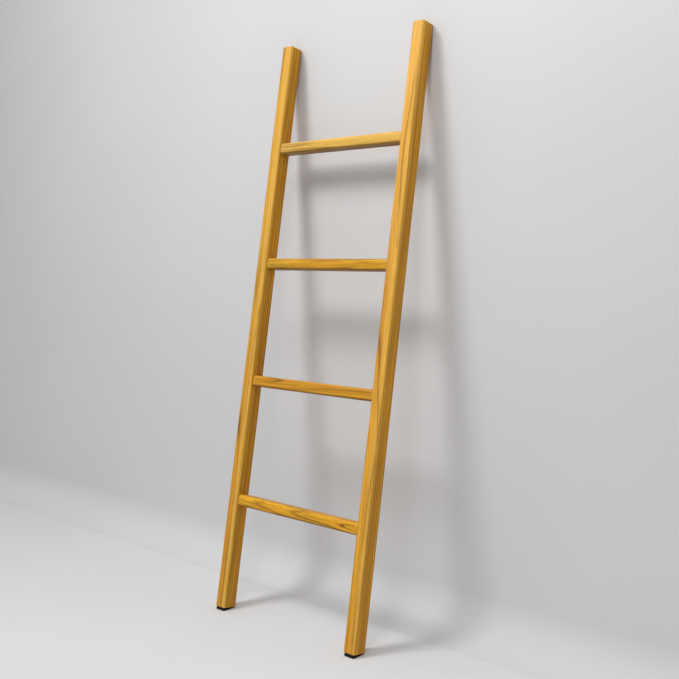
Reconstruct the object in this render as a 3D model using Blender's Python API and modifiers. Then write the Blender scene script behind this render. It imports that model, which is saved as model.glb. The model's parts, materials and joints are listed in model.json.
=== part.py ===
"""Leaning ladder rack: two teak rails and four teak rungs, with rubber feet and wall pads.

The rack stands in its leaning pose. Each rung ends in tenons that enter blind mortises in the
rails, and a wooden pin driven from the rear locks each tenon. Everything is laid out square in
the lean frame, whose Z runs up the rails, X across the rack and Y towards the wall, and one
empty tips that frame back onto the wall.
"""

import math

import bmesh
import bpy
from mathutils import Matrix, Vector

# ---- driving dimensions, in metres ------------------------------------------------------------
OVERALL_WIDTH = 0.4826      # outer face to outer face of the rails
RAIL_LENGTH = 1.524
RAIL_WIDTH = 0.0335         # across the rack
RAIL_DEPTH = 0.042          # front to back
RAIL_ROUND = 0.0045         # radius along the rails' long edges
RAIL_END_ROUND = 0.0025     # radius around the rails' ends
LEAN = math.radians(9.8)    # lean from the vertical

RUNG_COUNT = 4
RUNG_FOOT_MARGIN = 0.283    # from the rails' lower ends to the lowest rung's centre
RUNG_TOP_MARGIN = 0.2885    # from the rails' upper ends to the highest rung's centre
RUNG_HEIGHT = 0.0295
RUNG_DEPTH = 0.034
RUNG_ROUND = 0.0078

TENON_LENGTH = 0.022        # how far a rung enters each rail
TENON_SHOULDER = 0.004      # step all round from the rung down to its tenon
TENON_ROUND = 0.004
PIN_DIAMETER = 0.008
PIN_PAST_TENON = 0.002      # how far a pin runs on in front of the tenon

FOOT_INSET = 0.0015         # rubber foot, in from the rail's faces
FOOT_HEEL = 0.001           # floor to the rail's rear edge, measured along the rail
FOOT_ROUND = 0.0004

WALL_FLAT = 0.014           # length of the upright flat cut on each rail's top rear edge
WALL_PAD_HEIGHT = 0.009
WALL_PAD_SIDE_INSET = 0.006
WALL_PAD_THICKNESS = 0.0015
WALL_PAD_ROUND = 0.0004

GAP = 0.0003                # clearance between pieces that touch
PIN_SIDES = 24
ROUND_STEPS = 4             # segments in each rounded edge
NEARLY_ALONG = 0.9          # cosine above which an edge counts as running along an axis
SMOOTH_BELOW = math.radians(30)

# ---- sizes that follow --------------------------------------------------------------------------
RUNG_SPACING = (RAIL_LENGTH - RUNG_FOOT_MARGIN - RUNG_TOP_MARGIN) / (RUNG_COUNT - 1)
RUNG_LEVELS = [RUNG_FOOT_MARGIN + i * RUNG_SPACING for i in range(RUNG_COUNT)]
RAIL_X = (OVERALL_WIDTH - RAIL_WIDTH) / 2
INNER_X = OVERALL_WIDTH / 2 - RAIL_WIDTH
MID_Y = RAIL_DEPTH / 2
TENON_HEIGHT = RUNG_HEIGHT - 2 * TENON_SHOULDER
TENON_DEPTH = RUNG_DEPTH - 2 * TENON_SHOULDER
PIN_X = INNER_X + TENON_LENGTH / 2
PIN_FRONT_Y = MID_Y - TENON_DEPTH / 2 - PIN_PAST_TENON
TOE_DROP = RAIL_DEPTH * math.tan(LEAN) + FOOT_HEEL
SIDES = (("left", -1), ("right", 1))

# Directions of the room, seen in the lean frame.
ROOM_DOWN = Vector((0, math.sin(LEAN), -math.cos(LEAN)))
ROOM_BACK = Vector((0, math.cos(LEAN), math.sin(LEAN)))


def start_clean():
    """Empty the scene, and make the collections for the rack and for its cutters."""
    for obj in list(bpy.data.objects):
        bpy.data.objects.remove(obj, do_unlink=True)
    made = []
    for name in ("ladder_rack", "ladder_rack_cutters"):
        collection = bpy.data.collections.new(name)
        bpy.context.scene.collection.children.link(collection)
        made.append(collection)
    return made


def make_material(name, colour, roughness):
    """A plain non-metallic material."""
    material = bpy.data.materials.new(name)
    material.use_nodes = True
    shader = material.node_tree.nodes["Principled BSDF"]
    shader.inputs["Base Color"].default_value = (*colour, 1.0)
    shader.inputs["Roughness"].default_value = roughness
    shader.inputs["Metallic"].default_value = 0.0
    return material


def box_mesh(low, high):
    """A box between two corners, as an open bmesh."""
    low, high = Vector(low), Vector(high)
    bm = bmesh.new()
    placed = Matrix.Translation((low + high) / 2) @ Matrix.Diagonal((*(high - low), 1.0))
    bmesh.ops.create_cube(bm, size=1.0, matrix=placed)
    return bm


def slice_off(bm, point, normal):
    """Cut away what lies beyond a plane, and close the cut."""
    everything = bm.verts[:] + bm.edges[:] + bm.faces[:]
    cut = bmesh.ops.bisect_plane(bm, geom=everything, plane_co=point, plane_no=normal, clear_outer=True)
    rim = [item for item in cut["geom_cut"] if isinstance(item, bmesh.types.BMEdge)]
    bmesh.ops.edgeloop_fill(bm, edges=rim)
    bmesh.ops.recalc_face_normals(bm, faces=bm.faces[:])


def finish_object(name, bm, collection, frame, material=None):
    """Turn a bmesh into an object that rides the lean frame."""
    mesh = bpy.data.meshes.new(name)
    bm.to_mesh(mesh)
    bm.free()
    obj = bpy.data.objects.new(name, mesh)
    collection.objects.link(obj)
    obj.parent = frame
    if material:
        mesh.materials.append(material)
    else:
        obj.hide_render = True
        obj.display_type = "WIRE"
    return obj


def round_edges(obj, long_axis, long_round, end_round):
    """Round the edges that run nearly along one axis by one radius, and all the others by another."""
    mesh = obj.data
    weights = mesh.attributes.new("bevel_weight_edge", "FLOAT", "EDGE")
    for edge in mesh.edges:
        start, end = (mesh.vertices[i].co for i in edge.vertices)
        run = (end - start).normalized()
        along = abs(run[long_axis]) > NEARLY_ALONG
        weights.data[edge.index].value = 1.0 if along else end_round / long_round
    bevel = obj.modifiers.new("rounded edges", "BEVEL")
    bevel.limit_method = "WEIGHT"
    bevel.width = long_round
    bevel.segments = ROUND_STEPS


def combine(obj, other, operation):
    """Join another object to this one, or cut it away.

    The exact solver leaves slits in a rail at some lengths, so this uses the manifold one.
    """
    boolean = obj.modifiers.new(other.name, "BOOLEAN")
    boolean.operation = operation
    boolean.object = other
    boolean.solver = "MANIFOLD"


def shade(obj):
    """Smooth shading that keeps the flat faces flat."""
    obj.data.shade_smooth()
    obj.data.set_sharp_from_angle(angle=SMOOTH_BELOW)


def bar_mesh(half_length, depth, height, level):
    """A bar across the rack, centred on the rails' depth at one level."""
    low = (-half_length, MID_Y - depth / 2, level - height / 2)
    high = (half_length, MID_Y + depth / 2, level + height / 2)
    return box_mesh(low, high)


def make_tenon_bar(name, level, clearance, collection, frame):
    """The bar whose two ends are a rung's tenons; with clearance, it is the mortises' cutter."""
    half_length = INNER_X + TENON_LENGTH + clearance
    depth = TENON_DEPTH + 2 * clearance
    height = TENON_HEIGHT + 2 * clearance
    bar = finish_object(name, bar_mesh(half_length, depth, height, level), collection, frame)
    round_edges(bar, 0, TENON_ROUND + clearance, 0.0)
    return bar


def pin_mesh(side, level, radius, front_y, rear_y):
    """A cylinder across the rail's depth, through the middle of a tenon."""
    bm = bmesh.new()
    centre = Vector((side * PIN_X, (front_y + rear_y) / 2, level))
    turned = Matrix.Translation(centre) @ Matrix.Rotation(math.radians(90), 4, "X")
    length = rear_y - front_y
    bmesh.ops.create_cone(bm, cap_ends=True, segments=PIN_SIDES, radius1=radius, radius2=radius,
                          depth=length, matrix=turned)
    return bm


def make_rail(name, side, collection, frame, material):
    """One rail, with the upright flat that meets the wall on its top rear edge."""
    low = (side * RAIL_X - RAIL_WIDTH / 2, 0, 0)
    high = (side * RAIL_X + RAIL_WIDTH / 2, RAIL_DEPTH, RAIL_LENGTH)
    bm = box_mesh(low, high)
    slice_off(bm, (0, RAIL_DEPTH, RAIL_LENGTH - WALL_FLAT), ROOM_BACK)
    rail = finish_object(name, bm, collection, frame, material)
    round_edges(rail, 2, RAIL_ROUND, RAIL_END_ROUND)
    return rail


def make_rung(name, level, tenon_bar, collection, frame, material):
    """One rung: a softly rounded bar between the rails, with a tenon at each end."""
    half_length = INNER_X - GAP
    rung = finish_object(name, bar_mesh(half_length, RUNG_DEPTH, RUNG_HEIGHT, level), collection, frame,
                         material)
    round_edges(rung, 0, RUNG_ROUND, 0.0)
    combine(rung, tenon_bar, "UNION")
    return rung


def make_foot_pad(name, side, collection, frame, material):
    """A rubber wedge that fills the space between the rail's square end and the floor."""
    half_width = RAIL_WIDTH / 2 - FOOT_INSET
    low = (side * RAIL_X - half_width, FOOT_INSET, -2 * TOE_DROP)
    high = (side * RAIL_X + half_width, RAIL_DEPTH - FOOT_INSET, -GAP)
    bm = box_mesh(low, high)
    slice_off(bm, (0, 0, -TOE_DROP), ROOM_DOWN)
    pad = finish_object(name, bm, collection, frame, material)
    round_edges(pad, 2, FOOT_ROUND, FOOT_ROUND)
    return pad


def make_wall_pad(name, side, collection, frame, material):
    """A thin pad on the rail's upright flat, laid out upright and then tipped into the lean frame."""
    half_width = RAIL_WIDTH / 2 - WALL_PAD_SIDE_INSET
    low = (-half_width, GAP, -WALL_PAD_HEIGHT / 2)
    high = (half_width, GAP + WALL_PAD_THICKNESS, WALL_PAD_HEIGHT / 2)
    bm = box_mesh(low, high)
    flat_centre_z = RAIL_LENGTH - (WALL_FLAT + RAIL_END_ROUND) / 2
    flat_centre_y = RAIL_DEPTH - (flat_centre_z - RAIL_LENGTH + WALL_FLAT) * math.tan(LEAN)
    tipped = Matrix.Rotation(LEAN, 4, "X")
    bm.transform(Matrix.Translation((side * RAIL_X, flat_centre_y, flat_centre_z)) @ tipped)
    pad = finish_object(name, bm, collection, frame, material)
    round_edges(pad, 0, WALL_PAD_ROUND, WALL_PAD_ROUND)
    return pad


def stand_on_origin(frame, collection):
    """Lower the rack onto z = 0, and centre it over the origin from front to back."""
    bpy.context.view_layer.update()
    depsgraph = bpy.context.evaluated_depsgraph_get()
    corners = []
    for obj in collection.objects:
        evaluated = obj.evaluated_get(depsgraph)
        corners += [evaluated.matrix_world @ vertex.co for vertex in evaluated.data.vertices]
    front, rear = min(c.y for c in corners), max(c.y for c in corners)
    frame.location = (0, -(front + rear) / 2, -min(c.z for c in corners))


def main():
    rack, cutters = start_clean()
    frame = bpy.data.objects.new("lean_frame", None)
    bpy.context.scene.collection.objects.link(frame)
    frame.rotation_euler = (-LEAN, 0, 0)

    rail_teak = make_material("rail_teak", (0.58, 0.29, 0.06), 0.42)
    rung_teak = make_material("rung_teak", (0.60, 0.31, 0.07), 0.42)
    pin_teak = make_material("pin_teak", (0.42, 0.20, 0.05), 0.5)
    rubber = make_material("foot_rubber", (0.012, 0.012, 0.013), 0.75)
    felt = make_material("wall_felt", (0.03, 0.027, 0.025), 0.95)

    rails = {}
    for side_name, side in SIDES:
        rails[side] = make_rail(f"{side_name}_rail", side, rack, frame, rail_teak)
        make_foot_pad(f"foot_pad_{side_name}", side, rack, frame, rubber)
        make_wall_pad(f"wall_pad_{side_name}", side, rack, frame, felt)

    for number, level in enumerate(RUNG_LEVELS, start=1):
        tenon_bar = make_tenon_bar(f"tenon_bar_{number}", level, 0.0, cutters, frame)
        mortise_bar = make_tenon_bar(f"mortise_bar_{number}", level, GAP, cutters, frame)
        rung = make_rung(f"rung_{number}", level, tenon_bar, rack, frame, rung_teak)
        for side_name, side in SIDES:
            hole_mesh = pin_mesh(side, level, PIN_DIAMETER / 2, PIN_FRONT_Y, 2 * RAIL_DEPTH)
            hole = finish_object(f"pin_hole_{side_name}_{number}", hole_mesh, cutters, frame)
            combine(rails[side], mortise_bar, "DIFFERENCE")
            combine(rails[side], hole, "DIFFERENCE")
            combine(rung, hole, "DIFFERENCE")
            peg = pin_mesh(side, level, PIN_DIAMETER / 2 - GAP, PIN_FRONT_Y + GAP, RAIL_DEPTH)
            finish_object(f"pin_{side_name}_{number}", peg, rack, frame, pin_teak)

    for obj in rack.objects:
        shade(obj)
    stand_on_origin(frame, rack)


main()
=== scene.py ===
"""Looks for the leaning teak ladder rack: fine meshes, procedural materials, stage, light and camera.

The pieces are modelled square in the lean frame, whose Z runs up the rails, and each mesh is then
tipped back onto the wall. Every piece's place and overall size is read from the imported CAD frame.
"""

import json
import math
from collections import namedtuple

import bpy
import numpy as np
from mathutils import Matrix, Vector, noise


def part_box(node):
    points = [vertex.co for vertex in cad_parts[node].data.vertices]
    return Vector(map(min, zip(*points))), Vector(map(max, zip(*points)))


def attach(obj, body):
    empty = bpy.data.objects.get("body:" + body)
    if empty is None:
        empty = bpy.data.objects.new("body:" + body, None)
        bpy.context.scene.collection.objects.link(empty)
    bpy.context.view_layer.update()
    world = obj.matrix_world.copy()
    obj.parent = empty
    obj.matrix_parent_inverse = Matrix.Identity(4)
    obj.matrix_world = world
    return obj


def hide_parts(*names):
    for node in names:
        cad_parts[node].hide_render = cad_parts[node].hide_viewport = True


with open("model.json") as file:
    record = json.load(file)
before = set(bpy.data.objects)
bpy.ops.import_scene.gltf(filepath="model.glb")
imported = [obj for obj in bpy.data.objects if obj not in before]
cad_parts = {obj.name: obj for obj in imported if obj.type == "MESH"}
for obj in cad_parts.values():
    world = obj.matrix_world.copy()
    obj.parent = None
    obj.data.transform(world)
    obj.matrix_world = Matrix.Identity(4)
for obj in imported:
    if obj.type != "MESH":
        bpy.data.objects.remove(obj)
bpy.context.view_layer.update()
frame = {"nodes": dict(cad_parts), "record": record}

# ---- what the frame says --------------------------------------------------------------------
RECORD = frame["record"]
MOUNTS = {mount["name"]: mount for mount in RECORD["mounts"]}
LEAN = math.atan2(MOUNTS["hang_1"]["axis"][1], MOUNTS["hang_1"]["axis"][2])
TO_LEAN = Matrix.Rotation(LEAN, 3, "X")
SIDES = {"left": -1, "right": 1}        # each rail's side, and its direction along X
RUNGS = sorted(name for name in frame["nodes"] if name.startswith("rung_"))
WALL_Y = MOUNTS["wall_left"]["pos_m"][1]

# ---- finishing details, in metres -----------------------------------------------------------
RAIL_ROUND = 0.0045         # radius along the rails' long edges
RAIL_END_ROUND = 0.0025
RUNG_ROUND = 0.0078
RUNG_END_ROUND = 0.0012     # eased shoulder that shows as a fine joint line
TENON_ROUND = 0.004
TENON_END_ROUND = 0.0004
PIN_END_ROUND = 0.0004
HOLE_END_ROUND = 0.0001
HOLE_OVERRUN = 0.01         # how far a pin hole's cutter runs out behind the rail
FOOT_CORNER = 0.0040        # radius of the rubber feet, seen from above
FOOT_END_ROUND = 0.0008
WALL_PAD_CORNER = 0.0025
WALL_PAD_END_ROUND = 0.0003
CLEARANCE = 0.0003
JOINT_STAIN = 0.0026        # how far oil has darkened a rung's end from its shoulder
REAR_SHADE_REACH = 0.0055         # how far painted shade reaches into a rail from its rear edges, by the wall
SUPPORT = 0.0012            # strip beside a rounded edge that keeps a flat face shaded flat
RING_SPACING = 0.016        # between cross-sections along a bar

# ---- shares, counts and angles --------------------------------------------------------------
CORNER_STEPS = 7
END_STEPS = 4
ROUND_BAR = 0.999           # a round bar's edge radius, as a share of its half width
LEAST_ROUND = 0.2           # share of its radius that an edge keeps at a bar's ends
RAIL_WANDER = 0.14          # share by which a hand-sanded edge's radius varies
RUNG_WANDER = 0.06
WANDER_PACE = 7.0           # how quickly it varies along a bar, per metre
EDGE_STRIDE = 5.3           # how far apart a bar's four edges lie in the noise
RAIL_SEED = 40              # turns a rail's or rung's place into its own noise
RUNG_SEED = 11
RUNG_WEAR = 0.6             # how far wear reaches from a rung's edges, in edge radii
REAR_PAINTED_SHADE = 0.6              # how dark the painted shade is along a rail's rear edges, by the wall
REAR_SHADE_TURN = 3.0         # how soon it shows as the surface turns from the rear to the side
UNDER_PAINTED_SHADE = 0.80            # how dark the painted shade is under a rung
UNDER_SHADE_START = 0.25      # how far down a surface faces where it starts
UNDER_SHADE_SPAN = 0.45       # and how much further down it reaches full strength
SHARP_ANGLE = 32            # degrees between faces that stay a sharp edge
PIN_SHARP_ANGLE = 40


# ---- measuring the frame --------------------------------------------------------------------
def lean_points(node):
    """A CAD node's vertices, in the lean frame's directions."""
    return np.array([TO_LEAN @ vertex.co for vertex in frame["nodes"][node].data.vertices])


def lean_box(node):
    """(lowest corner, highest corner) of a CAD node in the lean frame's directions."""
    points = lean_points(node)
    return Vector(points.min(0)), Vector(points.max(0))


INNER_FACE = lean_box("right_rail")[0].x        # how far each rail starts from the middle plane


def tenon_box(rung):
    """The lean frame's box of the part of a rung that is inside the right rail."""
    points = lean_points(rung)
    inside = points[points[:, 0] > INNER_FACE + CLEARANCE]
    return Vector(inside.min(0)), Vector(inside.max(0))


def box_centre(node):
    """The middle of a CAD node's box in the lean frame's directions."""
    return sum(lean_box(node), Vector()) / 2


def grown(box, amount):
    """A box made larger by one amount on every side."""
    margin = Vector((amount, amount, amount))
    return box[0] - margin, box[1] + margin


# ---- meshes -----------------------------------------------------------------------------------
def rounded_section(half_a, half_b, radii):
    """Points round a rectangle with rounded corners, anticlockwise, with a support beside each corner."""
    supported = min(half_a, half_b) - max(radii) > 2 * SUPPORT
    points = []
    for corner, (sign_a, sign_b) in enumerate(((1, 1), (-1, 1), (-1, -1), (1, -1))):
        radius = radii[corner]
        centre_a = sign_a * (half_a - radius)
        centre_b = sign_b * (half_b - radius)
        start = corner * math.pi / 2
        end = start + math.pi / 2
        arc = []
        for step in range(CORNER_STEPS + 1):
            angle = start + step / CORNER_STEPS * math.pi / 2
            arc.append((centre_a + radius * math.cos(angle), centre_b + radius * math.sin(angle)))
        if supported:
            (first_a, first_b), (last_a, last_b) = arc[0], arc[-1]
            before = (first_a + math.sin(start) * SUPPORT, first_b - math.cos(start) * SUPPORT)
            after = (last_a - math.sin(end) * SUPPORT, last_b + math.cos(end) * SUPPORT)
            arc = [before, *arc, after]
        points += arc
    return points


def bar_rings(low, high, end_round):
    """(place along the bar, inset from its faces) for each cross-section, from one end to the other."""
    rings = []
    for step in range(END_STEPS + 1):
        angle = step / END_STEPS * math.pi / 2
        rings.append((end_round * (1 - math.cos(angle)), end_round * (1 - math.sin(angle))))
    length = high - low
    inner = [(length - along, inset) for along, inset in reversed(rings)]
    reach = end_round + SUPPORT
    count = max(1, round((length - 2 * reach) / RING_SPACING))
    middle = np.linspace(reach, length - reach, count + 1)
    rings += [(along, 0.0) for along in middle] + inner
    return [(low + along, inset) for along, inset in rings]


def bar_mesh(name, axis, low, high, edge_round, end_round, wander=0.0, seed=0.0, shape=None):
    """A bar with rounded long edges and ends, lofted along one axis; shape may move each point."""
    side_a, side_b = (axis + 1) % 3, (axis + 2) % 3
    middle = (low + high) / 2
    half = (high - low) / 2
    points = []

    def add_ring(along, inset):
        radii = []
        for corner in range(4):
            drift = noise.noise(Vector((along * WANDER_PACE, corner * EDGE_STRIDE, seed))) * wander
            radii.append(max(edge_round * (1 + drift) - inset, edge_round * LEAST_ROUND))
        for a, b in rounded_section(half[side_a] - inset, half[side_b] - inset, radii):
            point = Vector((0, 0, 0))
            point[axis] = along
            point[side_a] = middle[side_a] + a
            point[side_b] = middle[side_b] + b
            points.append(shape(point) if shape else point)

    rings = bar_rings(low[axis], high[axis], end_round)
    cap_inset = end_round + SUPPORT
    rings = [(rings[0][0], cap_inset), *rings, (rings[-1][0], cap_inset)]
    for along, inset in rings:
        add_ring(along, inset)

    size = len(points) // len(rings)
    last = len(points) - size
    faces = [list(range(size))[::-1], list(range(last, len(points)))]
    for first in range(0, last, size):
        for step in range(size):
            after = (step + 1) % size
            faces.append((first + step, first + after, first + size + after, first + size + step))
    mesh = bpy.data.meshes.new(name)
    mesh.from_pydata(points, [], faces)
    mesh.validate()
    return mesh


def place(name, data):
    """An object for a mesh, light or camera."""
    obj = bpy.data.objects.new(name, data)
    bpy.context.scene.collection.objects.link(obj)
    return obj


def carve(obj, cutters, operation="DIFFERENCE"):
    """Apply Boolean cuts or joins with other objects, and remove those objects."""
    for cutter in cutters:
        boolean = obj.modifiers.new("carve", "BOOLEAN")
        boolean.object = cutter
        boolean.operation = operation
        boolean.solver = "MANIFOLD"
    bpy.context.view_layer.update()
    evaluated = obj.evaluated_get(bpy.context.evaluated_depsgraph_get())
    mesh = bpy.data.meshes.new_from_object(evaluated)
    obj.modifiers.clear()
    obj.data = mesh
    for cutter in cutters:
        bpy.data.objects.remove(cutter, do_unlink=True)


def smooth(obj, degrees=SHARP_ANGLE):
    """Shade an object smooth, but for its sharp edges."""
    obj.data.shade_smooth()
    obj.data.set_sharp_from_angle(angle=math.radians(degrees))


def mark_wear(obj, axis, low, high, edge_round):
    """Store how near each vertex is to an edge, for the finish to wear thin there."""
    side_a, side_b = (axis + 1) % 3, (axis + 2) % 3
    wear = obj.data.attributes.new("edge_wear", "FLOAT", "POINT")
    for vertex in obj.data.vertices:
        from_a = min(vertex.co[side_a] - low[side_a], high[side_a] - vertex.co[side_a])
        from_b = min(vertex.co[side_b] - low[side_b], high[side_b] - vertex.co[side_b])
        from_end = min(vertex.co[axis] - low[axis], high[axis] - vertex.co[axis])
        nearest = sorted((max(from_a, 0), max(from_b, 0), max(from_end, 0)))
        reach = math.hypot(nearest[0], nearest[1]) / edge_round
        wear.data[vertex.index].value = max(0.0, 1.0 - reach)


def mark_rung_oil_and_painted_shade(obj, low, high):
    """Store how much oil has darkened a rung's shoulders, and how much shade is painted along its underside.
    """
    darkening = obj.data.attributes.new("oil_and_painted_shade", "FLOAT", "POINT")
    for vertex in obj.data.vertices:
        from_end = min(vertex.co.x - low.x, high.x - vertex.co.x)
        at_joint = 1.0 - max(from_end, 0.0) / JOINT_STAIN
        # Painted shade: the rung is darker where its surface faces down.
        facing_down = (-vertex.normal.z - UNDER_SHADE_START) / UNDER_SHADE_SPAN
        darkening.data[vertex.index].value = max(0.0, at_joint, UNDER_PAINTED_SHADE * min(1.0, facing_down))


def mark_rail_painted_shade(obj, high):
    """Store how much shade is painted along a rail's two rear edges, which face the wall."""
    darkening = obj.data.attributes.new("oil_and_painted_shade", "FLOAT", "POINT")
    for vertex in obj.data.vertices:
        # Painted shade: the rail's sides are darker next to its rear edges, by the wall.
        at_edge = 1.0 - (high.y - vertex.co.y) / REAR_SHADE_REACH
        on_side = min(1.0, REAR_SHADE_TURN * (1.0 - abs(vertex.normal.y)))
        darkening.data[vertex.index].value = REAR_PAINTED_SHADE * max(0.0, at_edge) * on_side


# ---- node helpers -----------------------------------------------------------------------------
def node(tree, kind, inputs=(), **settings):
    """Add a shader node, with its settings and its inputs, which are values or sockets to link."""
    made = tree.nodes.new(kind)
    for key, value in settings.items():
        setattr(made, key, value)
    for key, value in dict(inputs).items():
        if isinstance(value, bpy.types.NodeSocket):
            tree.links.new(value, made.inputs[key])
        else:
            made.inputs[key].default_value = value
    return made


def calc(tree, operation, a, b=0.0, c=0.0, clamp=False):
    """A Math node's result."""
    made = node(tree, "ShaderNodeMath", {0: a, 1: b, 2: c}, operation=operation, use_clamp=clamp)
    return made.outputs[0]


def vector_calc(tree, operation, a, b):
    """A Vector Math node's vector."""
    return node(tree, "ShaderNodeVectorMath", {0: a, 1: b}, operation=operation).outputs[0]


def scaled(tree, vector, scale):
    """A vector times three factors."""
    return vector_calc(tree, "MULTIPLY", vector, scale)


def distance_from_z(tree, vector):
    """How far a place is from the Z axis."""
    flat = scaled(tree, vector, (1.0, 1.0, 0.0))
    return node(tree, "ShaderNodeVectorMath", {0: flat}, operation="LENGTH").outputs["Value"]


def noise_value(tree, vector, scale, detail=2.0, roughness=0.5, distortion=0.0):
    """A Noise Texture's grey value."""
    settings = {"Vector": vector, "Scale": scale, "Detail": detail, "Roughness": roughness,
                "Distortion": distortion}
    return node(tree, "ShaderNodeTexNoise", settings).outputs["Fac"]


def ramp(tree, value, stops):
    """A ramp of greys over (place, grey value) stops."""
    made = node(tree, "ShaderNodeValToRGB", {"Fac": value})
    elements = made.color_ramp.elements
    while len(elements) < len(stops):
        elements.new(0.5)
    for element, (position, grey) in zip(elements, stops):
        element.position = position
        element.color = (grey, grey, grey, 1.0)
    return made.outputs["Color"]


def spread(tree, value, low, high, to_low=0.0, to_high=1.0):
    """A value's range mapped smoothly onto another range."""
    settings = {"Value": value, "From Min": low, "From Max": high, "To Min": to_low, "To Max": to_high}
    return node(tree, "ShaderNodeMapRange", settings, interpolation_type="SMOOTHSTEP").outputs["Result"]


def grey_colour(tree, value):
    """A colour with one value in all three channels."""
    return node(tree, "ShaderNodeCombineColor", {0: value, 1: value, 2: value}).outputs[0]


def mix_colour(tree, factor, first, second, blend="MIX"):
    """Two colours mixed; each is a socket or a triple, and the factor a socket or a number."""
    made = node(tree, "ShaderNodeMix", {}, data_type="RGBA", blend_type=blend)
    for socket, value in zip((made.inputs[0], made.inputs[6], made.inputs[7]), (factor, first, second)):
        if isinstance(value, bpy.types.NodeSocket):
            tree.links.new(value, socket)
        elif socket.type == "RGBA":
            socket.default_value = (*value, 1.0)
        else:
            socket.default_value = value
    return made.outputs[2]


def add_bump(tree, shader, height, strength, depth):
    """Give a shader the fine relief that a height describes."""
    made = node(tree, "ShaderNodeBump", {"Height": height, "Strength": strength, "Distance": depth})
    tree.links.new(made.outputs[0], shader.inputs["Normal"])


def blank_material(name):
    """A material with only its Principled shader and output."""
    material = bpy.data.materials.new(name)
    material.use_nodes = True
    tree = material.node_tree
    return material, tree, tree.nodes["Principled BSDF"]


def add_sockets(tree, in_out, kind, names):
    """Sockets of one kind on a node group."""
    for name in names:
        tree.interface.new_socket(name, in_out=in_out, socket_type=kind)


# ---- teak ---------------------------------------------------------------------------------------
GOLD = (0.610, 0.268, 0.009)
HONEY = (0.760, 0.385, 0.020)
AMBER = (0.480, 0.168, 0.006)
OLIVE = (0.410, 0.228, 0.008)
UMBER = (0.150, 0.050, 0.004)
SAPWOOD_AND_PAINTED_LIGHT = (0.820, 0.480, 0.075)
WORN = (0.880, 0.540, 0.120)
END_GRAIN_TINT = (0.40, 0.36, 0.32)
OIL_AND_SHADE_TINT = (0.16, 0.12, 0.10)
TRUNK_BEND = 0.016          # metres that the trunk wanders from straight
FINISH_IOR = 1.45
FINISH_SPECULAR = 0.25
RING_LINE = ((0.0, 0.0), (0.05, 0.12), (0.12, 0.72), (0.40, 1.0), (0.90, 0.84), (1.0, 0.10))
PORE_BAND = ((0.0, 1.0), (0.22, 0.75), (0.42, 0.12), (0.9, 0.1), (1.0, 1.0))


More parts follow.
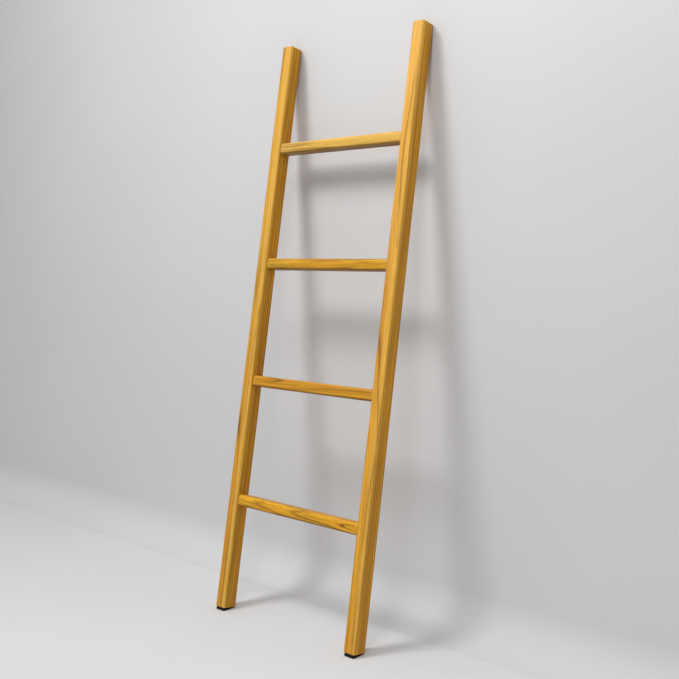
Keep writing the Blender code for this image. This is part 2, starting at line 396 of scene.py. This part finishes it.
def teak_group():
    """Solid teak as a function of place, in metres: the tree's pith is the Z axis."""
    tree = bpy.data.node_groups.new("solid_teak", "ShaderNodeTree")
    add_sockets(tree, "INPUT", "NodeSocketVector", ("Place", "Normal"))
    add_sockets(tree, "INPUT", "NodeSocketFloat", ("Ring Width", "Figure", "Sapwood", "Wear", "Oil And Shade"))
    add_sockets(tree, "OUTPUT", "NodeSocketColor", ("Color",))
    add_sockets(tree, "OUTPUT", "NodeSocketFloat", ("Roughness", "Height"))
    enter = tree.nodes.new("NodeGroupInput").outputs
    leave = tree.nodes.new("NodeGroupOutput").inputs

    # The trunk bends a little, so the rings wander along the piece.
    slow = scaled(tree, enter["Place"], (7.0, 7.0, 1.9))
    bend = node(tree, "ShaderNodeTexNoise", {"Vector": slow, "Scale": 1.0, "Detail": 2.0}).outputs["Color"]
    centred = vector_calc(tree, "SUBTRACT", bend, (0.5, 0.5, 0.5))
    trunk = vector_calc(tree, "ADD", enter["Place"], scaled(tree, centred, (TRUNK_BEND, TRUNK_BEND, 0.0)))

    def streaks(across, along, detail=1.0, roughness=0.5, distortion=0.0):
        """Noise drawn out along the grain; across and along say how fine it is, per metre."""
        stretched = scaled(tree, trunk, (across, across, along))
        return noise_value(tree, stretched, 1.0, detail, roughness, distortion)

    # Growth rings: a dark porous line, then gold that deepens towards the next line.
    rings = calc(tree, "DIVIDE", distance_from_z(tree, trunk), enter["Ring Width"])
    rings = calc(tree, "MULTIPLY_ADD", streaks(38.0, 1.2), 1.5, rings)
    phase = calc(tree, "FRACT", rings)
    ring_tone = ramp(tree, phase, RING_LINE)
    early = ramp(tree, phase, PORE_BAND)
    bold = spread(tree, streaks(22.0, 3.2), 0.38, 0.66, 0.25, 1.0)

    # Long streaks of colour, fine fibre and short open pores.
    broad = streaks(62.0, 0.8)
    streak = streaks(170.0, 2.0, 2.0, 0.55)
    mineral = streaks(115.0, 1.5, 1.0, 0.4, 0.4)
    fine = streaks(460.0, 5.5, 2.0, 0.6)
    fibre = streaks(1500.0, 22.0, 2.0, 0.65)
    dashes = streaks(1900.0, 75.0, 1.0, 0.4)
    pores = calc(tree, "MULTIPLY", spread(tree, dashes, 0.60, 0.72), early)

    colour = mix_colour(tree, spread(tree, streak, 0.36, 0.66), GOLD, HONEY)
    colour = mix_colour(tree, spread(tree, broad, 0.47, 0.72, 0.0, 0.80), colour, AMBER)
    colour = mix_colour(tree, spread(tree, mineral, 0.54, 0.74, 0.0, 0.75), colour, OLIVE)

    # The outermost wood of the trunk is paler. The piths are placed so that it falls on the lit front faces
    # of the rails and of one rung, strongest by the rails' front-right edges, so there it is partly sapwood
    # and partly painted light and a painted highlight.
    rim = calc(tree, "SUBTRACT", distance_from_z(tree, enter["Place"]), enter["Sapwood"])
    rim = calc(tree, "MULTIPLY_ADD", streak, 0.003, rim)
    colour = mix_colour(tree, spread(tree, rim, 0.0, 0.0070, 0.0, 0.80), colour, SAPWOOD_AND_PAINTED_LIGHT)

    # The ring lines, the fibre's light and shade and the pores are drawn over the colour.
    line = calc(tree, "MULTIPLY", calc(tree, "SUBTRACT", 1.0, ring_tone), bold)
    line = calc(tree, "MULTIPLY", line, enter["Figure"], clamp=True)
    colour = mix_colour(tree, line, colour, UMBER)
    grey = spread(tree, fine, 0.30, 0.70, 0.84, 1.14)
    grey = calc(tree, "MULTIPLY", grey, spread(tree, fibre, 0.30, 0.70, 0.90, 1.08))
    colour = mix_colour(tree, 1.0, colour, grey_colour(tree, grey), "MULTIPLY")
    colour = mix_colour(tree, calc(tree, "MULTIPLY", pores, 0.55), colour, UMBER)

    # End grain drinks more oil, so it is darker. The stored mark darkens where oil gathers at the rungs'
    # shoulders, and is painted shade under the rungs and along the rails' rear edges.
    across = node(tree, "ShaderNodeSeparateXYZ", {0: enter["Normal"]}).outputs[2]
    end_grain = spread(tree, calc(tree, "ABSOLUTE", across), 0.55, 0.95)
    end_share = calc(tree, "MULTIPLY", end_grain, 0.60)
    colour = mix_colour(tree, end_share, colour, END_GRAIN_TINT, "MULTIPLY")
    oil_and_shade_share = calc(tree, "MULTIPLY", enter["Oil And Shade"], 0.85)
    colour = mix_colour(tree, oil_and_shade_share, colour, OIL_AND_SHADE_TINT, "MULTIPLY")

    # Handling rubs the oil thin along the edges.
    patchy = noise_value(tree, scaled(tree, enter["Place"], (60.0, 60.0, 18.0)), 1.0, 3.0, 0.6)
    rubbed = calc(tree, "MULTIPLY", enter["Wear"], spread(tree, patchy, 0.30, 0.65, 0.35, 1.0), clamp=True)
    colour = mix_colour(tree, calc(tree, "MULTIPLY", rubbed, 0.45), colour, WORN)

    satin = spread(tree, patchy, 0.25, 0.75, 0.29, 0.40)
    dull = calc(tree, "MULTIPLY_ADD", pores, 0.22, satin)
    dull = calc(tree, "MULTIPLY_ADD", line, 0.08, dull)
    dull = calc(tree, "MULTIPLY_ADD", end_grain, 0.20, dull)
    rough = calc(tree, "MULTIPLY_ADD", fibre, 0.10, dull, clamp=True)

    height = calc(tree, "MULTIPLY", fibre, 0.35)
    height = calc(tree, "MULTIPLY_ADD", pores, -0.9, height)
    height = calc(tree, "MULTIPLY_ADD", line, -0.25, height)

    tree.links.new(colour, leave["Color"])
    tree.links.new(rough, leave["Roughness"])
    tree.links.new(height, leave["Height"])
    return tree


# One piece's timber: pith is where the tree's centre lay, across and behind the piece and along the
# tree; tilt is how far the grain runs out; figure is how bold the ring lines are; sapwood is how far
# from the pith the pale outer wood starts, which on the lit front faces is also painted light; tone
# multiplies the colour.
Timber = namedtuple("Timber", "pith tilt ring_width figure sapwood tone")
NO_PALE_RIM = 1.0
RAIL_TIMBER = {
    "left": Timber((-0.019, 0.0615, 0.30), (0.002, 0.001), 0.0058, 0.85, 0.0822, (0.97, 0.93, 0.90)),
    "right": Timber((-0.022, 0.0660, 2.10), (0.004, 0.001), 0.0062, 0.70, 0.0860, (1.03, 0.96, 0.90)),
}
RUNG_TIMBER = (
    Timber((-0.003, 0.003, 0.60), (0.00, 0.042), 0.0044, 1.45, NO_PALE_RIM, (1.12, 1.13, 1.00)),
    Timber((0.040, -0.020, 1.90), (0.02, 0.020), 0.0064, 0.95, NO_PALE_RIM, (0.94, 0.90, 0.85)),
    Timber((0.036, 0.018, 3.30), (0.02, -0.030), 0.0066, 1.00, NO_PALE_RIM, (0.96, 1.00, 0.97)),
    Timber((0.055, 0.010, 4.70), (-0.01, 0.012), 0.0080, 0.60, 0.062, (0.96, 1.00, 1.20)),
)


def pin_timber(side, index):
    """A locking pin's timber, from a different place in the tree for each pin."""
    return Timber((0.03, 0.02 * side, 0.4 * index), (0.0, 0.0), 0.0030, 0.40, NO_PALE_RIM, (0.78, 0.72, 0.68))


def teak(name, group, grain_axis, centre, timber):
    """Teak for one piece, whose grain runs along one axis of the lean frame."""
    material, tree, shader = blank_material(name)
    coordinates = node(tree, "ShaderNodeTexCoord").outputs
    order = [(grain_axis + 1) % 3, (grain_axis + 2) % 3, grain_axis]

    def along_grain(vector, kind, offset=(0.0, 0.0, 0.0)):
        """A place or normal in the lean frame, turned so that its Z runs along the grain."""
        upright = node(tree, "ShaderNodeMapping", {"Vector": vector, "Rotation": (LEAN, 0.0, 0.0)},
                       vector_type=kind).outputs[0]
        moved = vector_calc(tree, "SUBTRACT", upright, offset)
        parts = node(tree, "ShaderNodeSeparateXYZ", {0: moved}).outputs
        turned = {k: parts[axis] for k, axis in enumerate(order)}
        return node(tree, "ShaderNodeCombineXYZ", turned).outputs[0]

    in_tree = node(tree, "ShaderNodeMapping",
                   {"Vector": along_grain(coordinates["Object"], "POINT", centre),
                    "Location": (-timber.pith[0], -timber.pith[1], timber.pith[2]),
                    "Rotation": (*timber.tilt, 0.0)}).outputs[0]
    wood = node(tree, "ShaderNodeGroup", node_tree=group)
    wood.inputs["Ring Width"].default_value = timber.ring_width
    wood.inputs["Figure"].default_value = timber.figure
    wood.inputs["Sapwood"].default_value = timber.sapwood
    tree.links.new(in_tree, wood.inputs["Place"])
    tree.links.new(along_grain(coordinates["Normal"], "VECTOR"), wood.inputs["Normal"])
    # The stain mark holds oil at the rungs' shoulders, and painted shade under the rungs and along the
    # rails' rear edges.
    for socket, attribute in (("Wear", "edge_wear"), ("Oil And Shade", "oil_and_painted_shade")):
        stored = node(tree, "ShaderNodeAttribute", attribute_name=attribute).outputs["Fac"]
        tree.links.new(stored, wood.inputs[socket])
    colour = mix_colour(tree, 1.0, wood.outputs["Color"], timber.tone, "MULTIPLY")
    tree.links.new(colour, shader.inputs["Base Color"])
    tree.links.new(wood.outputs["Roughness"], shader.inputs["Roughness"])
    add_bump(tree, shader, wood.outputs["Height"], 0.5, 0.0002)
    shader.inputs["IOR"].default_value = FINISH_IOR
    shader.inputs["Specular IOR Level"].default_value = FINISH_SPECULAR
    return material


# ---- the wooden pieces ------------------------------------------------------------------------
def finish_piece(obj, material, slot, *nodes):
    """Tip a piece back, give it its material, attach it to the root and hide the CAD nodes it stands for;
    slot is not used.
    """
    obj.data.transform(Matrix.Rotation(-LEAN, 4, "X"))
    obj.data.materials.clear()
    obj.data.materials.append(material)
    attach(obj, "root")
    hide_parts(*nodes)


def pin_name(side_name, rung):
    """The CAD node of the pin that locks one end of a rung."""
    return f"pin_{side_name}_{rung.split('_')[1]}"


def tenon_cutter(rung, amount):
    """A bar through both rails in the shape of a rung's tenons, larger by a clearance."""
    low, high = tenon_box(rung)
    low, high = grown((Vector((-high.x, low.y, low.z)), high), amount)
    return place("tenon", bar_mesh("tenon", 0, low, high, TENON_ROUND + amount, TENON_END_ROUND))


def pin_cutter(pin):
    """A round bar for a locking pin's hole, running out behind the rail."""
    low, high = grown(lean_box(pin), CLEARANCE)
    high.y += HOLE_OVERRUN
    radius = (high.x - low.x) / 2
    return place("hole", bar_mesh("hole", 1, low, high, radius * ROUND_BAR, HOLE_END_ROUND))


def build_rail(side_name, material):
    """A rail with mortises, pin holes, sanded edges and the upright flat that meets the wall."""
    rail_node = f"{side_name}_rail"
    low, high = lean_box(rail_node)
    pad_point = TO_LEAN @ Vector((0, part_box(f"wall_pad_{side_name}")[0].y - CLEARANCE, 0))
    flat_normal = TO_LEAN @ Vector((0, 1, 0))

    def on_wall_flat(point):
        beyond = (point - pad_point).dot(flat_normal)
        if beyond > 0:
            point.y -= beyond / flat_normal.y
        return point

    mesh = bar_mesh(rail_node, 2, low, high, RAIL_ROUND, RAIL_END_ROUND, RAIL_WANDER,
                    low.x * RAIL_SEED, on_wall_flat)
    obj = place(f"teak_rail_{side_name}", mesh)
    cutters = [tenon_cutter(rung, CLEARANCE) for rung in RUNGS]
    cutters += [pin_cutter(pin_name(side_name, rung)) for rung in RUNGS]
    carve(obj, cutters)
    mark_wear(obj, 2, low, high, RAIL_ROUND)
    mark_rail_painted_shade(obj, high)
    smooth(obj)
    finish_piece(obj, material, "rail_teak", rail_node)


def build_rung(rung, material):
    """A soft-edged rung with its two tenons and their pin holes."""
    whole_low, whole_high = lean_box(rung)
    low = Vector((-INNER_FACE + CLEARANCE, whole_low.y, whole_low.z))
    high = Vector((INNER_FACE - CLEARANCE, whole_high.y, whole_high.z))
    mesh = bar_mesh(rung, 0, low, high, RUNG_ROUND, RUNG_END_ROUND, RUNG_WANDER, low.z * RUNG_SEED)
    obj = place(f"teak_{rung}", mesh)
    carve(obj, [tenon_cutter(rung, 0.0)], "UNION")
    carve(obj, [pin_cutter(pin_name(side_name, rung)) for side_name in SIDES])
    mark_wear(obj, 0, low, high, RUNG_ROUND * RUNG_WEAR)
    mark_rung_oil_and_painted_shade(obj, low, high)
    smooth(obj)
    finish_piece(obj, material, "rung_teak", rung)


def build_pin(pin, material):
    """A locking pin, sanded flush with the rail's rear face."""
    low, high = lean_box(pin)
    radius = (high.x - low.x) / 2
    mesh = bar_mesh(pin, 1, low, high, radius * ROUND_BAR, PIN_END_ROUND)
    obj = place(f"teak_{pin}", mesh)
    mark_wear(obj, 1, low, high, radius)
    smooth(obj, PIN_SHARP_ANGLE)
    finish_piece(obj, material, "pin_teak", pin)


def build_wood():
    """The rails, the rungs and the pins that lock them, each with teak of its own."""
    group = teak_group()
    for side_name in SIDES:
        centre = box_centre(f"{side_name}_rail")
        build_rail(side_name, teak(f"teak_rail_{side_name}", group, 2, centre, RAIL_TIMBER[side_name]))
    for index, (rung, timber) in enumerate(zip(RUNGS, RUNG_TIMBER)):
        build_rung(rung, teak(f"teak_{rung}", group, 0, box_centre(rung), timber))
        for side_name, side in SIDES.items():
            pin = pin_name(side_name, rung)
            build_pin(pin, teak(f"teak_{pin}", group, 1, box_centre(pin), pin_timber(side, index)))


# ---- rubber and felt --------------------------------------------------------------------------
RUBBER_DARK = (0.003, 0.003, 0.003)
RUBBER_PALE = (0.008, 0.008, 0.008)
RUBBER_SPECULAR = 0.20
FELT_DARK = (0.020, 0.018, 0.017)
FELT_PALE = (0.060, 0.055, 0.050)
FELT_ROUGHNESS = 0.95
FELT_SHEEN = 0.35


def rubber():
    """Black rubber, faintly mottled, with a fine grain."""
    material, tree, shader = blank_material("foot_rubber")
    place_here = node(tree, "ShaderNodeTexCoord").outputs["Object"]
    mottled = noise_value(tree, place_here, 260.0, 3.0, 0.6)
    grain = noise_value(tree, place_here, 2600.0)
    colour = mix_colour(tree, spread(tree, mottled, 0.3, 0.7), RUBBER_DARK, RUBBER_PALE)
    tree.links.new(colour, shader.inputs["Base Color"])
    tree.links.new(spread(tree, mottled, 0.2, 0.8, 0.62, 0.86), shader.inputs["Roughness"])
    shader.inputs["Specular IOR Level"].default_value = RUBBER_SPECULAR
    add_bump(tree, shader, grain, 0.35, 0.0002)
    return material


def felt():
    """Dark matted felt."""
    material, tree, shader = blank_material("wall_felt")
    place_here = node(tree, "ShaderNodeTexCoord").outputs["Object"]
    matted = noise_value(tree, place_here, 900.0, 4.0, 0.7, 1.5)
    colour = mix_colour(tree, spread(tree, matted, 0.3, 0.7), FELT_DARK, FELT_PALE)
    tree.links.new(colour, shader.inputs["Base Color"])
    shader.inputs["Roughness"].default_value = FELT_ROUGHNESS
    shader.inputs["Sheen Weight"].default_value = FELT_SHEEN
    add_bump(tree, shader, matted, 0.8, 0.0004)
    return material


def build_foot(side_name, material):
    """The rubber wedge under a rail, with rounded corners: level underneath, square to the rail on top."""
    pad = f"foot_pad_{side_name}"
    low, high = lean_box(pad)
    floor_normal = TO_LEAN @ Vector((0, 0, 1))

    def onto_floor(point):
        floor_z = -point.y * floor_normal.y / floor_normal.z
        share = (high.z - point.z) / (high.z - low.z)
        point.z = high.z - share * (high.z - floor_z)
        return point

    mesh = bar_mesh(pad, 2, low, high, FOOT_CORNER, FOOT_END_ROUND, shape=onto_floor)
    obj = place(f"rubber_foot_{side_name}", mesh)
    smooth(obj)
    finish_piece(obj, material, "foot_rubber", pad)


def build_wall_pad(side_name, material):
    """The felt pad that keeps a rail off the wall, with rounded corners; it stands upright."""
    pad = f"wall_pad_{side_name}"
    low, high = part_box(pad)
    mesh = bar_mesh(pad, 1, low, high, WALL_PAD_CORNER, WALL_PAD_END_ROUND)
    mesh.transform(TO_LEAN.to_4x4())
    obj = place(f"felt_{pad}", mesh)
    smooth(obj)
    finish_piece(obj, material, "wall_felt", pad)


def build_pads():
    """The rubber feet and the felt wall pads."""
    rubber_black, felt_dark = rubber(), felt()
    for side_name in SIDES:
        build_foot(side_name, rubber_black)
        build_wall_pad(side_name, felt_dark)


# ---- stage ------------------------------------------------------------------------------------
STAGE_HALF_WIDTH = 5.0
STAGE_FRONT = -5.0
STAGE_BACK = 6.0
WALL_TOP = 4.5
COVE_RADIUS = 0.11
COVE_STEPS = 16
COVE_LIFT = 0.0002          # keeps the cove's foot just above the floor
FLOOR_TONE = 0.70
WALL_TONE = 0.66
PAINT_ROUGHNESS = 0.9
PAINT_SPECULAR = 0.15
PAINT_CLOUDS = 0.015        # share by which the paint's tone varies either way


def backdrop_material(name, tone, see_through_from_behind):
    """Matt, faintly uneven paint of one grey tone."""
    material, tree, shader = blank_material(name)
    shader.inputs["Roughness"].default_value = PAINT_ROUGHNESS
    shader.inputs["Specular IOR Level"].default_value = PAINT_SPECULAR
    cloudy = noise_value(tree, node(tree, "ShaderNodeTexCoord").outputs["Object"], 1.3)
    shade = spread(tree, cloudy, 0.3, 0.7, tone * (1 - PAINT_CLOUDS), tone * (1 + PAINT_CLOUDS))
    tree.links.new(grey_colour(tree, shade), shader.inputs["Base Color"])
    if see_through_from_behind:
        clear = tree.nodes.new("ShaderNodeBsdfTransparent")
        behind = tree.nodes.new("ShaderNodeNewGeometry").outputs["Backfacing"]
        both = node(tree, "ShaderNodeMixShader", {0: behind, 1: shader.outputs[0], 2: clear.outputs[0]})
        tree.links.new(both.outputs[0], tree.nodes["Material Output"].inputs["Surface"])
    return material


def build_stage():
    """A pale floor that sweeps up into a pale wall; the wall can't be seen from behind."""
    edges = (-STAGE_HALF_WIDTH, STAGE_HALF_WIDTH)
    floor_points = [(x, y, 0) for y in (STAGE_FRONT, STAGE_BACK) for x in edges]
    floor_mesh = bpy.data.meshes.new("floor")
    floor_mesh.from_pydata(floor_points, [], [(0, 1, 3, 2)])
    floor_mesh.materials.append(backdrop_material("floor_paint", FLOOR_TONE, False))

    profile = []
    for step in range(COVE_STEPS + 1):
        angle = step / COVE_STEPS * math.pi / 2
        profile.append((WALL_Y - COVE_RADIUS * (1 - math.sin(angle)),
                        COVE_LIFT + COVE_RADIUS * (1 - math.cos(angle))))
    profile.append((WALL_Y, WALL_TOP))
    wall_points = [(x, y, z) for y, z in profile for x in edges]
    wall_faces = [(2 * k, 2 * k + 1, 2 * k + 3, 2 * k + 2) for k in range(len(profile) - 1)]
    wall_mesh = bpy.data.meshes.new("wall")
    wall_mesh.from_pydata(wall_points, [], wall_faces)
    wall_mesh.shade_smooth()
    wall_mesh.materials.append(backdrop_material("wall_paint", WALL_TONE, True))
    place("floor", floor_mesh)
    place("wall", wall_mesh)


# ---- light ------------------------------------------------------------------------------------
# For each square softbox: name, place, what it points at, side, power, and how widely it spreads.
SOFTBOXES = (
    ("key", (-0.95, -1.80, 3.35), (0.9, 0.15, -1.2), 0.9, 30.5, math.radians(130)),
    ("fill", (0.70, -1.00, 2.70), (1.2, 0.15, 0.9), 0.6, 13.8, math.pi),
)
SKY_STRENGTH = 0.630
SKY_COLOUR = (0.79, 0.80, 0.82)
SKY_FALL = 0.80             # share by which the sky is darker on the right than in front


def softbox(name, location, target, size, power, fan):
    """A square area light aimed at a point."""
    light = bpy.data.lights.new(name, "AREA")
    light.shape = "SQUARE"
    light.size = size
    light.energy = power
    light.spread = fan
    obj = place(name, light)
    obj.location = location
    aim = Vector(target) - Vector(location)
    obj.rotation_euler = aim.to_track_quat("-Z", "Y").to_euler()


def build_sky():
    """An even sky that darkens towards the right."""
    world = bpy.data.worlds.new("studio")
    bpy.context.scene.world = world
    world.use_nodes = True
    tree = world.node_tree
    sky = tree.nodes["Background"]
    sky.inputs["Strength"].default_value = SKY_STRENGTH
    direction = node(tree, "ShaderNodeTexCoord").outputs["Generated"]
    to_right = node(tree, "ShaderNodeSeparateXYZ", {0: direction}).outputs[0]
    falling = calc(tree, "MULTIPLY_ADD", to_right, -SKY_FALL, 1.0)
    channels = {k: calc(tree, "MULTIPLY", falling, level) for k, level in enumerate(SKY_COLOUR)}
    tree.links.new(node(tree, "ShaderNodeCombineColor", channels).outputs[0], sky.inputs["Color"])


# ---- camera -----------------------------------------------------------------------------------
CAMERA_PLACE = (1.6489, -1.7910, 0.9338)
CAMERA_TURN = math.radians(41.504)
CAMERA_DIP = math.radians(2.891)
CAMERA_LENS = 50.56         # millimetres, as is the sensor's width
CAMERA_SENSOR = 36.0
CAMERA_SHIFT = -0.0530


def build_camera():
    """The camera, at the photograph's angle."""
    camera = bpy.data.cameras.new("camera")
    camera.lens = CAMERA_LENS
    camera.sensor_width = CAMERA_SENSOR
    camera.shift_y = CAMERA_SHIFT
    obj = place("camera", camera)
    obj.location = CAMERA_PLACE
    obj.rotation_euler = (math.pi / 2 - CAMERA_DIP, 0.0, CAMERA_TURN)
    bpy.context.scene.camera = obj
    bpy.context.scene.view_settings.view_transform = "Standard"


build_wood()
build_pads()
build_stage()
for box in SOFTBOXES:
    softbox(*box)
build_sky()
build_camera()
